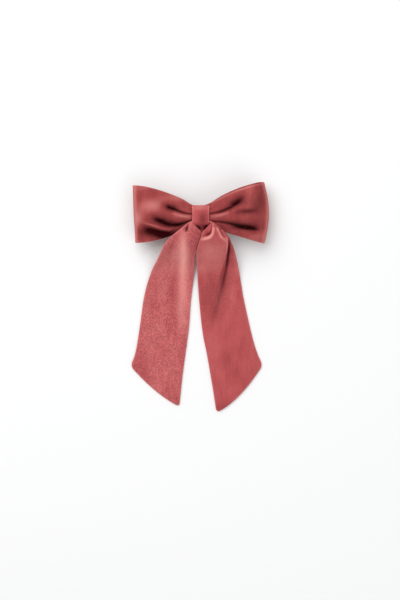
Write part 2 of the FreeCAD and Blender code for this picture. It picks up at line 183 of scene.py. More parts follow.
def wrapped_grid(name, wrap, weld, pile_lie_and_painted_shading=None):
    """A grid whose points are moved to wrap (rows, columns, xyz) in millimetres and welded shut."""
    rows, columns = wrap.shape[:2]
    deselect_all()
    bpy.ops.mesh.primitive_grid_add(x_subdivisions=columns - 1, y_subdivisions=rows - 1, size=1)
    piece = bpy.context.object
    piece.name = piece.data.name = name
    flat = np.zeros(len(piece.data.vertices) * 3)
    piece.data.vertices.foreach_get("co", flat)
    flat = flat.reshape(-1, 3)
    column = np.rint((flat[:, 0] + 0.5) * (columns - 1)).astype(int)
    row = np.rint((flat[:, 1] + 0.5) * (rows - 1)).astype(int)
    piece.data.vertices.foreach_set("co", (wrap[row, column] * MM).ravel())
    if pile_lie_and_painted_shading is not None:
        # Each point's painted shade and highlight is stored as an attribute, which the velvet finish reads.
        piece.data.attributes.new("painted_shading", "FLOAT", "POINT").data.foreach_set("value", pile_lie_and_painted_shading[row, column])
    bpy.ops.object.mode_set(mode="EDIT")
    bpy.ops.mesh.select_all(action="SELECT")
    bpy.ops.mesh.remove_doubles(threshold=weld * MM)
    bpy.ops.mesh.normals_make_consistent(inside=False)
    bpy.ops.object.mode_set(mode="OBJECT")
    bpy.ops.object.shade_smooth()
    return piece


def pressed_tube(name, middle, half, painted_shading, ring=False):
    """Wraps a grid round the middle surface (rows along, columns across), in millimetres.
    The fourth argument is the painted shade (-1) and highlight (1) on the front at each point."""
    side = run_along(middle, 1)
    inward = np.minimum(side, side[:, -1:] - side)
    if not ring:
        length = run_along(middle, 0)
        inward = np.minimum(inward, np.minimum(length, length[-1:] - length))
    rise = half * np.sqrt(1 - (1 - np.clip(inward / half, 0, 1)) ** 2)
    lift = normals_of(middle, ring) * rise[:, :, None]
    wrap = np.concatenate([middle + lift, (middle - lift)[:, -2::-1]], axis=1)
    # Painted shading, strengthened, plus a painted highlight where the velvet turns at its edges.
    painted_shading = np.clip(painted_shading_gain * painted_shading + painted_rim_highlight * np.exp(-inward / rim_width), -1, 1)
    pile_lie_and_painted_shading = np.concatenate([painted_shading, painted_shading[:, -2::-1]], axis=1)
    piece = wrapped_grid(name, wrap, 0.002, pile_lie_and_painted_shading)
    print(f"{name}: {len(piece.data.polygons)} faces, middle {side[:, -1].mean():.1f} mm wide")
    return piece


# %% [markdown]
# ## Creases and painted shading
# Cloth creases along lines, and shade and light fall unevenly round each crease. A sculptor would draw
# both with a brush. Here a brush stroke is a short route with a depth and a width, so it can be moved
# by changing a number. `crease_depth` presses the shape. The strokes and patches change only the colour:
# they paint shade and highlight into it, and much of the velvet's light and dark is painted that way.


# %% Creases and painted shading
def crease_depth(points, crease):
    """How deep a crease lies under each point. Its route is (x, y, depth, width) in millimetres."""
    route = trace(crease, np.linspace(0, 1, 60))
    away = np.linalg.norm(points[..., None, :2] - route[:, :2], axis=-1)
    nearest = away.argmin(axis=-1)
    distance = away.min(axis=-1)
    depth = route[nearest, 2]
    width = np.maximum(route[nearest, 3], 0.2)
    return depth / (1 + (distance / width) ** 2) ** 1.5


def painted_strokes(points, routes):
    """Soft lines of painted shade and highlight: each route is (x, y, amount, half width)."""
    return sum(crease_depth(points, route) for route in routes)


def painted_patches(points, painted_spots):
    """Soft spots of painted shade and highlight: (x, y, half length x, half length y, amount)."""
    total = np.zeros(points.shape[:2])
    for x, y, wide, tall, amount in painted_spots:
        total += amount * np.exp(-((points[..., 0] - x) / wide) ** 2 - ((points[..., 1] - y) / tall) ** 2)
    return total


flat_spot = np.zeros((1, 1, 2))
print(f"a patch of 0.5 at its middle: {painted_patches(flat_spot, [(0, 0, 1, 1, 0.5)])[0, 0]:.2f}")


# %% [markdown]
# ## Helpers for materials
# A finish is a small tree of nodes. The same few branches come back in every finish here: a noise
# stretched along one axis, a colour ramp over it, a blend of two colours, and a bump. They could be
# wired by hand each time, but a helper for each keeps a finish short enough to read at a glance.


# %% Node helpers
def new_material(name):
    material = bpy.data.materials.new(name)
    material.use_nodes = True
    return material, material.node_tree.nodes, material.node_tree.links


def noise(nodes, links, coordinates, scale, detail, stretch=(1, 1, 1)):
    mapping = nodes.new("ShaderNodeMapping")
    mapping.inputs["Scale"].default_value = stretch
    links.new(coordinates, mapping.inputs["Vector"])
    texture = nodes.new("ShaderNodeTexNoise")
    texture.inputs["Scale"].default_value = scale
    texture.inputs["Detail"].default_value = detail
    links.new(mapping.outputs["Vector"], texture.inputs["Vector"])
    return texture.outputs["Fac"]


def ramp(nodes, links, factor, stops_and_colours):
    node = nodes.new("ShaderNodeValToRGB")
    elements = node.color_ramp.elements
    while len(elements) < len(stops_and_colours):
        elements.new(0.5)
    for element, (place, colour) in zip(elements, stops_and_colours):
        element.position = place
        element.color = (*colour, 1)
    links.new(factor, node.inputs["Fac"])
    return node.outputs["Color"]


def blend_colour(nodes, links, kind, amount, a, b):
    node = nodes.new("ShaderNodeMix")
    node.data_type = "RGBA"
    node.blend_type = kind
    node.inputs["Factor"].default_value = amount
    links.new(a, node.inputs["A"])
    links.new(b, node.inputs["B"])
    return node.outputs["Result"]


def bump(nodes, links, height, strength, distance, normal=None):
    node = nodes.new("ShaderNodeBump")
    node.inputs["Strength"].default_value = strength
    node.inputs["Distance"].default_value = distance
    links.new(height, node.inputs["Height"])
    if normal:
        links.new(normal, node.inputs["Normal"])
    return node.outputs["Normal"]


print("node helpers: new_material, noise, ramp, blend_colour, bump")

# %% [markdown]
# ## Velvet
# Velvet is a short dense pile. It looks dark where it is seen straight down its threads and pale
# where they are seen from the side, so edges and folds get a light rim. A sheen layer does a little
# of that; the rest of the light rim is painted into the base colour. The base colour also has soft
# clouds and fine specks, and the shading attribute: painted shade in creases, painted highlight on ridges.


# %% Velvet finish
# Painted shade and painted highlight: the colours that the shading attribute blends the velvet towards.
painted_shade_tint = (0.085, 0.012, 0.03)
painted_highlight_tint = (0.78, 0.31, 0.28)


def pile_colour(nodes, links, place, deep, mid, light, speck, grain):
    """Clouds, brushed streaks and specks of colour."""
    clouds = noise(nodes, links, place, 90, 3, (1, 0.45, 1))
    streaks = noise(nodes, links, place, 420, 2, (1, 0.16, 1))
    specks = noise(nodes, links, place, grain, 4)
    base = ramp(nodes, links, clouds, [(0.28, deep), (0.52, mid), (0.78, light)])
    brushed = ramp(nodes, links, streaks, [(0.3, (0.80,) * 3), (0.7, (1.0,) * 3)])
    colour = blend_colour(nodes, links, "MULTIPLY", 0.55, base, brushed)
    tips = ramp(nodes, links, specks, [(0.34, (0.50,) * 3), (0.66, (1.0,) * 3)])
    return blend_colour(nodes, links, "MULTIPLY", speck, colour, tips)


def with_painted_shading(nodes, links, colour):
    """Paints shade where the shading attribute is below 0 and highlight where it is above."""
    painted_shading = nodes.new("ShaderNodeAttribute")
    painted_shading.attribute_name = "painted_shading"
    for place_from, place_to, kind, tint in ((0, -1, "MULTIPLY", painted_shade_tint), (0, 1, "MIX", painted_highlight_tint)):
        amount = nodes.new("ShaderNodeMapRange")
        amount.inputs["From Min"].default_value = place_from
        amount.inputs["From Max"].default_value = place_to
        links.new(painted_shading.outputs["Fac"], amount.inputs["Value"])
        change = nodes.new("ShaderNodeMix")
        change.data_type = "RGBA"
        change.blend_type = kind
        change.inputs["B"].default_value = (*tint, 1)
        links.new(amount.outputs["Result"], change.inputs["Factor"])
        links.new(colour, change.inputs["A"])
        colour = change.outputs["Result"]
    return colour


def velvet(name, deep, mid, light, speck, grain=1900):
    """Velvet whose pile runs along Y. speck is how far its tips scatter in colour, grain how finely."""
    material, nodes, links = new_material(name)
    shader = nodes["Principled BSDF"]
    place = nodes.new("ShaderNodeTexCoord").outputs["Object"]
    colour = pile_colour(nodes, links, place, deep, mid, light, speck, grain)
    links.new(with_painted_shading(nodes, links, colour), shader.inputs["Base Color"])
    shader.inputs["Roughness"].default_value = 0.95
    shader.inputs["Specular IOR Level"].default_value = 0.06
    shader.inputs["Sheen Weight"].default_value = 0.16
    shader.inputs["Sheen Roughness"].default_value = 0.28
    shader.inputs["Sheen Tint"].default_value = (1.0, 0.52, 0.48, 1)
    pile = noise(nodes, links, place, 3200, 2)
    pile_lie_and_painted_shading = noise(nodes, links, place, 500, 2, (1, 0.3, 1))
    normal = bump(nodes, links, pile_lie_and_painted_shading, 0.25, 0.0004)
    links.new(bump(nodes, links, pile, 0.6, 0.00012, normal), shader.inputs["Normal"])
    return material


print("velvet goes from crushed", painted_shade_tint, "to raised", painted_highlight_tint)

# %% [markdown]
# ## Four shades of one velvet
# All the pieces are cut from one cloth, but its pile runs a different way in each, so each takes the
# light differently. One finish could be turned piece by piece. Instead each piece has its own three
# shades, lit and shaded copies of one velvet with the light painted in, and the left tail, seen
# against its pile, also gets coarser and stronger specks.

# %% Four velvets
loop_velvet = velvet("velvet_loops", (0.33, 0.054, 0.056), (0.42, 0.076, 0.076), (0.52, 0.110, 0.106), 0.6)
band_velvet = velvet("velvet_band", (0.46, 0.078, 0.086), (0.55, 0.104, 0.112), (0.64, 0.145, 0.15), 0.5)
left_velvet = velvet("velvet_left_tail", (0.54, 0.108, 0.115), (0.64, 0.145, 0.150), (0.74, 0.20, 0.195),
                     1.0, 1150)
right_velvet = velvet("velvet_right_tail", (0.48, 0.085, 0.090), (0.57, 0.110, 0.115), (0.65, 0.15, 0.15),
                      0.8)
print("velvets:", [material.name for material in (loop_velvet, band_velvet, left_velvet, right_velvet)])

# %% [markdown]
# ## Dressing a piece
# Each new piece stands in for one plain solid of the imported model. It takes one finish and the
# name of the solid that it replaces, and that solid is hidden. This could be written out for each
# piece, but one helper means that neither is forgotten.


# %% Finish of a piece
def dress(piece, slot, material, *nodes):
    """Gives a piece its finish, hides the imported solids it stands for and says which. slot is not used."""
    piece.data.materials.clear()
    piece.data.materials.append(material)
    if nodes:
        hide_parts(*nodes)
    print(f"{piece.name} stands for {nodes} in {material.name}")


# %% [markdown]
# ## The loops
# The bow itself is one ribbon ring: its front layer runs from fold to fold under the knot, and
# its back layer returns behind. Gathering the waist throws the cloth into pleats that fan out
# and die away before the folds. So the ring starts as a clean profile, seen from below the bow,
# and each pleat is then pressed into its front layer along its own route. The left side comes
# first: its outline, its pleats as (x, y, depth, width), and its painted shade and highlight.

# %% Left loop
band_low, band_high = (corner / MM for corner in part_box("knot_band"))
cloth_half = 0.75
waist_x = band_high.x

left_loop = {
    "side": -1,
    "reach": [(0, 51.8), (0.25, 52.4), (0.5, 53.2), (1, 54.0)],
    "top": [(0, 5.2), (7.5, 7.6), (15, 12.2), (25, 16.4), (35, 19.8), (45, 22.3), (54, 23.6)],
    "bottom": [(0, -6.6), (8, -8.4), (17, -13.4), (25, -17.2), (34, -20.0), (43, -21.8), (54, -22.8)],
    "creases": [
        [(-5, -0.3, 2.6, 0.9), (-12, 0.5, 3.4, 1.1), (-19, 2.8, 4.6, 1.8), (-25, 5.4, 4.4, 2.9),
         (-29, 6.8, 1.6, 3.6), (-33, 9, 0, 4)],
        [(-5, -4.6, 3.0, 1.0), (-13, -6.4, 5.0, 1.5), (-20, -8.1, 6.6, 2.3), (-26, -7.6, 6.6, 2.9),
         (-32, -5.6, 5.0, 3.3), (-38, -2.6, 2.4, 3.6), (-43, -1, 0, 4)],
        [(-12, -12, 1.2, 1.4), (-20, -15.6, 4.2, 2.0), (-27, -15.0, 4.8, 2.6), (-35, -13.0, 3.6, 2.8),
         (-43, -10.4, 2.0, 2.6), (-49, -8, 0, 3)],
        [(-22, -12.8, -0.7, 0.9), (-30, -11.6, -0.9, 1.0), (-38, -9.0, -0.8, 1.1), (-46, -6.6, 0, 1.4)],
    ],
    # Painted shade (below 0) and painted highlight (above 0), as spots and as strokes along lines.
    "painted_spots": [
        (-38, 6.5, 9, 5, 0.25), (-50, -3, 3.5, 6, 0.24), (-45, 15, 9, 5, -0.06),
        (-24.5, 5.6, 5.5, 2.8, -0.36),
        (-27, -16.5, 10, 3.4, -0.80), (-42, -13.5, 8, 4, -0.52), (-20, -8.4, 8, 1.8, -0.40),
        (-33, -4.6, 6.5, 3.0, -0.30), (-21, 12.4, 9, 2.6, 0.12), (-50, -19, 4, 4, -0.14),
        (-47, 20.5, 7, 2, 0.10),
    ],
    "painted_strokes": [
        [(-8, -2.4, 0.30, 0.9), (-15, -1.6, 0.34, 1.2), (-22, 0.4, 0.22, 1.6), (-29, 2.6, 0, 2)],
        [(-22, -12.4, 0.30, 0.6), (-30, -11.2, 0.40, 0.7), (-38, -8.8, 0.40, 0.8), (-46, -6.4, 0.1, 1.0)],
        [(-8, -0.2, -0.45, 0.6), (-15, 1.2, -0.45, 0.8), (-20, 3.2, -0.40, 1.2), (-24, 5.2, -0.1, 1.6)],
    ],
}
print(f"left loop: {len(left_loop['creases'])} pleats, reach {left_loop['reach'][0][1]} mm")

# %% [markdown]
# ## The right loop
# The two sides of a gathered ring never crease alike. The right side's fold is a little bowed, and
# one of its pleats runs close along its upper edge. Mirroring the left side would be quicker and
# would look stamped, so the right side has its own outline and its own routes.

# %% Right loop
right_loop = {
    "side": 1,
    "reach": [(0, 50.0), (0.12, 51.4), (0.3, 53.0), (0.5, 53.7), (0.72, 52.8), (0.9, 50.9), (1, 49.8)],
    "top": [(0, 6.4), (7, 8.8), (13, 12.6), (20, 16.6), (30, 20.9), (40, 24.1), (47, 25.8), (54, 26.4)],
    "bottom": [(0, -6.6), (8, -8.6), (15, -12.4), (22, -15.0), (30, -17.2), (38, -19.6), (46, -21.9),
               (54, -24.0)],
    "creases": [
        [(5, -0.2, 2.4, 0.8), (11, 0.8, 3.2, 1.0), (17, 2.4, 4.2, 1.3), (23, 5.2, 4.8, 2.0),
         (29, 9.4, 3.6, 3.0), (34, 13.4, 1.2, 3.6), (38, 16, 0, 4)],
        [(5, -5.0, 2.2, 0.8), (14, -5.9, 3.6, 1.1), (22, -7.0, 5.0, 1.5), (30, -8.8, 6.0, 2.0),
         (37, -10.8, 5.4, 2.2), (43, -12.0, 3.4, 2.3), (48, -12.8, 0, 2.4)],
        [(20, 0.0, 0.2, 2), (29, 1.2, 1.4, 2.6), (36, 2.2, 1.8, 3.0), (43, 4.0, 0.9, 3.4), (49, 6, 0, 4)],
        [(8, 8.2, 0.3, 0.5), (14, 11.9, 0.8, 0.5), (22, 16.0, 0.9, 0.6), (32, 20.3, 0.9, 0.6),
         (41, 23.1, 0.8, 0.6), (49, 25.0, 0.5, 0.6)],
    ],
    # Painted shade (below 0) and painted highlight (above 0), as spots and as strokes along lines.
    "painted_spots": [
        (35, 5.4, 5.5, 2.4, 0.16), (47, 13, 5, 10, -0.26), (28, 9.2, 6.5, 3.6, -0.28), (32, 13, 4, 3, -0.18),
        (35, -10.2, 10, 2.6, -0.62), (37, 2.4, 7, 2.4, -0.26), (28, -12.6, 8, 1.8, 0.16),
        (43, 6, 9, 9, -0.14),
        (44, -17.5, 6, 3, 0.12), (42, -6, 10, 3, -0.12),
    ],
    "painted_strokes": [
        [(8, 0.0, -0.45, 0.6), (15, 1.9, -0.5, 0.8), (21, 4.2, -0.5, 1.1), (27, 8.0, -0.2, 1.8),
         (31, 11, 0, 2)],
        [(8, -1.8, 0.22, 0.9), (16, -0.8, 0.30, 1.1), (24, 2.0, 0.28, 1.2), (32, 6.0, 0.1, 1.8)],
        [(9, 9.0, 0.2, 0.8), (15, 12.3, 0.5, 0.8), (22, 16.0, 0.6, 0.8), (32, 19.9, 0.6, 0.9),
         (41, 22.8, 0.5, 0.9), (48, 24.3, 0.2, 0.9)],
        [(8, 9.6, -0.3, 0.4), (13, 12.7, -0.6, 0.45), (20, 16.7, -0.7, 0.5), (30, 21.0, -0.7, 0.5),
         (40, 24.2, -0.6, 0.5), (48, 25.9, -0.3, 0.5)],
        [(8, -5.3, -0.4, 0.5), (15, -6.0, -0.4, 0.7), (22, -7.0, -0.3, 0.9), (28, -8.4, 0, 1.2)],
    ],
}
print(f"right loop: {len(right_loop['creases'])} pleats, reach {right_loop['reach'][0][1]} mm")

# %% [markdown]
# ## From outline to surface
# One side of the ring, looked at from below the bow, is a flattened teardrop: waist front, crest,
# outer fold, back layer, waist back. That line is stretched to the side's outline and pressed by
# its pleats. A lattice or a brush could do the same, but a formula keeps the ring's two sides
# meeting exactly at the waist.


# %% Middle surface of one side of the ring
# Each point is a share of the reach and a height over the table in millimetres.
loop_profile = [(0, 20.6), (0.13, 21.4), (0.40, 24.6), (0.66, 23.2), (0.88, 18.2), (0.985, 13.6),
                (0.985, 10.6), (0.90, 9.2), (0.68, 11.7), (0.40, 14.8), (0.13, 16.4), (0, 16.4)]
waist_floor = 15.6
floor_fall = 5.0
gather_depth = 0.5
gather_count = 5.5
ripple_depth = 0.25
# Painted shade that deepens with the pleats, and a painted highlight along the outer fold.
painted_crease_shade = -0.13
painted_fold_highlight = 0.30


def loop_side(loop, across, shares):
    """The middle surface from the waist's front round the fold to the waist's back, and its painted shade.
    """
    profile = trace(loop_profile, shares)
    out = profile[:, 0][:, None]
    level = profile[:, 1][:, None]
    t = across[None, :]
    reach = height_over(loop["reach"], across)[None, :]
    front = 1 - ease(0.46, 0.58, shares)[:, None]
    x = out * reach
    y = mix(height_over(loop["bottom"], x), height_over(loop["top"], x), t)
    low_share = mix(0.12, 1.0, ease(0.55, 0.98, out))
    high_share = mix(0.50, 1.0, ease(0.40, 0.95, out))
    fullness = np.where(
        t < 0.42,
        mix(low_share, 1, np.sin(np.clip(t / 0.42, 0, 1) * math.pi / 2)),
        mix(1, high_share, 1 - np.cos(np.clip((t - 0.42) / 0.58, 0, 1) * math.pi / 2)),
    )
    floor = waist_floor - floor_fall * ease(0.2, 1.0, out)
    z = mix(level, floor + (level - floor) * fullness, front)
    points = np.stack([x * loop["side"], y, z], axis=-1)
    pressed = sum(crease_depth(points, crease) for crease in loop["creases"]) * ease(0.04, 0.14, out)
    gathers = gather_depth * np.cos(t * 2 * math.pi * gather_count + 0.6)
    gathers = gathers * np.exp(-np.maximum(x - waist_x, 0) / 8)
    ripple = ripple_depth * np.sin(x * 0.21 + t * 5) * np.sin(t * 7 + 1) * ease(0.3, 0.8, out)
    z = z - (pressed + gathers - ripple) * front
    room = floor + 1.0
    soft = room + np.logaddexp(0, (z - room) * 1.6) / 1.6
    points[..., 2] = mix(z, soft, front * (1 - ease(0.86, 0.95, out))) + table
    # Painted shade and highlight on the front layer, and a painted highlight at the outer fold.
    painted_shading = 1.2 * painted_patches(points, loop["painted_spots"]) + painted_strokes(points, loop["painted_strokes"]) + painted_crease_shade * pressed
    painted_shading = painted_shading * front + painted_fold_highlight * ease(0.92, 0.985, out)
    return points, painted_shading


print(f"a side's profile has {len(loop_profile)} points")

# %% [markdown]
# ## Closing the ring
# The real ribbon's ends are sewn together at the waist, under the band. Here the two sides are laid
# head to tail into one closed strip, and the points where they meet are averaged so that no step
# shows. Joining two finished meshes would leave a double skin at the waist instead.

# %% Build the ring
ring_rows = 260
ring_columns = 84
half_ring = (ring_rows // 2) + 1
across = stops(ring_columns, 0.016)
shares = np.linspace(0, 1, half_ring)
right_side, right_painted_shading = loop_side(right_loop, across, shares)
left_side, left_painted_shading = (part[::-1] for part in loop_side(left_loop, across, shares))
ring = np.concatenate([right_side[:-1], left_side])
ring_painted_shading = np.concatenate([right_painted_shading[:-1], left_painted_shading])
ring[half_ring - 1] = (right_side[-1] + left_side[0]) / 2
ring[0] = ring[-1] = (right_side[0] + left_side[-1]) / 2
bow = pressed_tube("velvet_loops", ring, cloth_half, ring_painted_shading, ring=True)
dress(bow, "velvet", loop_velvet, "bow_loops")
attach(bow, "bow_and_base")

# %% [markdown]
# ## The knot band
# The band is a short ribbon pulled tight round the gathers and the clip's base plate, and sewn
# behind. Tension hollows its sides a little and rounds its face, and its lower end dips in a
# point between the tails. It could be a bent box, but a closed outline swept across its width
# lets the lower end narrow to that point.


# %% Band surface
face_width = 13.9
face_hollow = 0.8
tip_width = 2.6


def band_surface(rows, columns):
    tip_y, high_y = band_low.y - 3.4, band_high.y - cloth_half
    low_z, high_z = band_low.z + cloth_half, band_high.z - cloth_half
    mid_z = (low_z + high_z) / 2
    outline = [
        (high_y, mid_z), (high_y - 0.4, high_z - 3.0), (high_y - 2.6, high_z - 0.6), (0, high_z),
        (-5, high_z - 0.5), (-8.4, high_z - 2.2), (-11.6, high_z - 4.6), (tip_y, mid_z),
        (band_low.y + 1, low_z + 1.5), (-5, low_z), (high_y - 4, low_z), (high_y - 0.8, low_z + 1.8),
        (high_y, mid_z),
    ]
    loop = trace(outline, np.linspace(0, 1, rows))
    u = 2 * stops(columns, 0.05)[None, :] - 1
    y, z = loop[:, 0][:, None] + 0 * u, loop[:, 1][:, None]
    face = ease(mid_z - 1, high_z - 3, z)
    squeezed = ease(-6.0, tip_y + 1, y) * ease(mid_z - 3.5, mid_z, z)
    hollow = face_hollow * np.sin(np.pi * np.clip((y + 8) / 15, 0, 1))
    width = mix(face_width - hollow, tip_width, squeezed)
    x = mix(-0.25, 1.2, squeezed) + u / 2 * width
    soft = 0.18 * np.sin(u * 6.5 + 1) * np.sin(y * 0.35) + 0.5 * (1 - u**2)
    # Painted shade and highlight on the face, and painted shade where the lower end dips behind the tails.
    painted_shading = painted_patches(np.stack([x, y], axis=-1), band_painted_spots) - 1.0 * ease(-6.5, -9.5, y) * (0.35 + u**2)
    return np.stack([x, y, z + (soft - 0.5 * np.abs(u) ** 3) * face], axis=-1), painted_shading * face


# Painted shade down the band's middle, and painted highlight along its top and its two side edges.
band_painted_spots = [(1.2, -3.4, 3.6, 5, -0.40), (-0.5, 5.0, 6, 2.4, 0.26), (-6.9, 0, 0.6, 9, 0.25),
              (6.2, 1, 0.6, 8, 0.25)]
band_middle, band_painted_shading = band_surface(150, 36)
band_middle[-1] = band_middle[0]
band = pressed_tube("velvet_band", band_middle, cloth_half, band_painted_shading, ring=True)
dress(band, "velvet", band_velvet, "knot_band")
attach(band, "bow_and_base")

# %% [markdown]
# ## The tails
# Each tail is a strip some 40 mm wide, sewn inside out, turned, and cut on the slant. A real one is
# pleated and tucked under the knot. This one ends beside the knot, so that it can be lifted without
# cutting into the band. It climbs over the loop's lower edge and falls to the table. A tail is laid
# out by its two long edges, and its height follows from how far down it has come.

# %% Left tail's lines
tail_half = 0.8
tail_rows = 200
corner_radius = 3.2
# How high a tail's cloth lies over the table, against how far down it has come.
drape = [(-160, 0.8), (-75, 0.8), (-60, 0.9), (-54, 1.3), (-47, 2.4), (-40, 5.2), (-33, 10.0),
         (-27, 14.9), (-21, 18.4), (-15, 20.2), (-10, 21.2), (-5, 21.6), (0, 21.4)]

left_tail = {
    "outer": [(-4.6, -4.4), (-9.9, -6.8), (-13, -9.0), (-16, -11.3), (-20, -14.4), (-24, -17.7),
              (-27.2, -20.8), (-29.6, -24.4), (-31.2, -28), (-35.8, -37), (-40, -45.6), (-45.6, -64.8),
              (-49.4, -91.2), (-52.6, -110), (-56.6, -121)],
    "inner": [(-3.4, -5.2), (-6.9, -7.0), (-5, -8.9), (-2, -11.9), (0.35, -14.4), (0.3, -16.4), (-0.5, -19),
              (-2.05, -23.2), (-4.2, -31), (-5.4, -46), (-8.2, -70), (-9.9, -92), (-14.6, -127),
              (-17.4, -153.6)],
    "bulge": 3.2,
    "creases": [
        [(-9.8, -8.2, 0.9, 0.3), (-10.4, -9.6, 1.8, 0.4), (-11.2, -11.6, 2.2, 0.6), (-11.9, -13.2, 1.2, 0.6),
         (-12.4, -15, 0, 0.8)],
        [(-8.8, -8, -0.4, 0.6), (-8.6, -11, -0.6, 0.9), (-9.4, -15, -0.2, 1.4), (-10, -19, 0, 2)],
        [(-18, -14, 0.1, 2), (-23, -24, 0.8, 2.4), (-26, -38, 0.4, 3), (-28, -52, 0, 4)],
    ],
    # Painted shade (below 0) and painted highlight (above 0), as spots and as strokes along lines.
    "painted_spots": [
        (-13.8, -27, 3.0, 12, 0.52), (-14.4, -50, 3.4, 24, 0.40), (-16.4, -76, 3.6, 18, 0.20),
        (-20, -31, 10, 9, 0.20), (-26, -64, 9, 30, -0.04), (-40, -100, 8, 20, 0.06),
        (-5, -14, 2.4, 3.4, -0.06),
        (-7, -30, 2, 12, -0.10),
    ],
    "painted_strokes": [
        [(-10.0, -8.4, -0.8, 0.5), (-10.7, -10.2, -1.9, 0.7), (-11.5, -12.2, -2.2, 0.8),
         (-12.2, -14, 0, 0.8)],
    ],
}
print(f"a tail comes down {drape[-1][1] - drape[0][1]:.1f} mm")

# %% [markdown]
# ## Laying out a tail
# A tail is cut flat, and its slanted end is bowed and has soft corners, because a turned seam never
# keeps a sharp point. So the rows are first drawn flat between the two long edges, then the end is
# bowed and its corners pulled in. A bevel in edit mode would round the corners too, but it would
# break the rows that the wrapping needs.


# %% Flat layout
def plain_tail(tail, rows, columns):
    """A tail laid flat: its plan, and the shares along and across it."""
    along = stops(rows, 0.006)
    outer = trace(tail["outer"], along)
    inner = trace(tail["inner"], along)
    t = stops(columns, 0.02)[None, :, None]
    plan = mix(outer[:, None, :], inner[:, None, :], t)
    middle = 4 * t[..., 0] * (1 - t[..., 0])
    plan[..., 1] -= tail["bulge"] * middle * ease(0.55, 1, along)[:, None] ** 2
    return plan, along[:, None], t[..., 0]


def rounded_corners(plan, radius):
    """Pulls the two sharp corners of the slanted end in to an arc."""
    side = run_along(plan, 1)
    end = run_along(plan, 0)
    end = end[-1:] - end
    for corner_side, distance in ((1, side), (-1, side[:, -1:] - side)):
        u = np.clip(radius - distance, 0, None)
        v = np.clip(radius - end, 0, None)
        reach = np.hypot(u, v)
        shrink = np.where(reach > 0, 1 - np.maximum(u, v) / np.maximum(reach, 1e-9), 0)
        across = unit(np.gradient(plan, axis=1)) * corner_side
        down = unit(np.gradient(plan, axis=0))
        plan = plan + across * (u * shrink)[..., None] - down * (v * shrink)[..., None]
    return plan


print(f"corners rounded to {corner_radius} mm")

# %% [markdown]
# ## Letting a tail down
# Next the flat tail gets its height: it is high over the loop, steep below it, and flat on the
# table. It also domes a little under the knot, where it is bunched, and a slow wave runs down it.
# A drape simulation would find this line by itself; here the line is drawn, as a curve of height
# against distance down.


# %% Heights and painted shading of a tail
def settle(tail, plan, rise, along, t, crown):
    """Gives a laid-out tail its heights and creases, and its painted shade and highlight."""
    dome = crown * np.sin(math.pi * t) ** 0.8 * (1 - ease(0.12, 0.32, along)) * ease(0.0, 0.06, along)
    wave = 0.35 * np.sin(t * 8 + along * 5) * ease(0.08, 0.25, along) * (1 - ease(0.35, 0.7, along))
    z = height_over(drape, plan[..., 1]) + rise + dome + np.abs(wave)
    points = np.concatenate([plan, z[..., None]], axis=-1)
    pressed = sum(crease_depth(points, crease) for crease in tail["creases"])
    points[..., 2] += table - pressed
    # Painted highlight on the steep part, which faces away from the key lamp, and painted shade in creases.
    steep = ease(-24, -34, plan[..., 1]) * ease(-52, -42, plan[..., 1])
    painted_shading = painted_patches(points, tail["painted_spots"]) + painted_strokes(points, tail["painted_strokes"])
    return points, painted_shading - 0.22 * pressed + 0.12 * steep


plan, along, t = plain_tail(left_tail, tail_rows, 66)
left_surface, left_painted_shading = settle(left_tail, rounded_corners(plan, corner_radius), 0, along, t, 1.5)
tail_l = pressed_tube("velvet_tail_left", left_surface, tail_half, left_painted_shading)

# %% [markdown]
# ## The right tail's fold
# The right tail has one deep pleat: its right third is folded behind, and opens out on the way
# down. So each row of its middle surface is moved on to a folded line, front layer, turn, hidden
# layer, turn and back layer, and eased back to its flat row as the fold opens. First come the
# tail's own edges, its fold line, its creases and its painted shade and highlight.

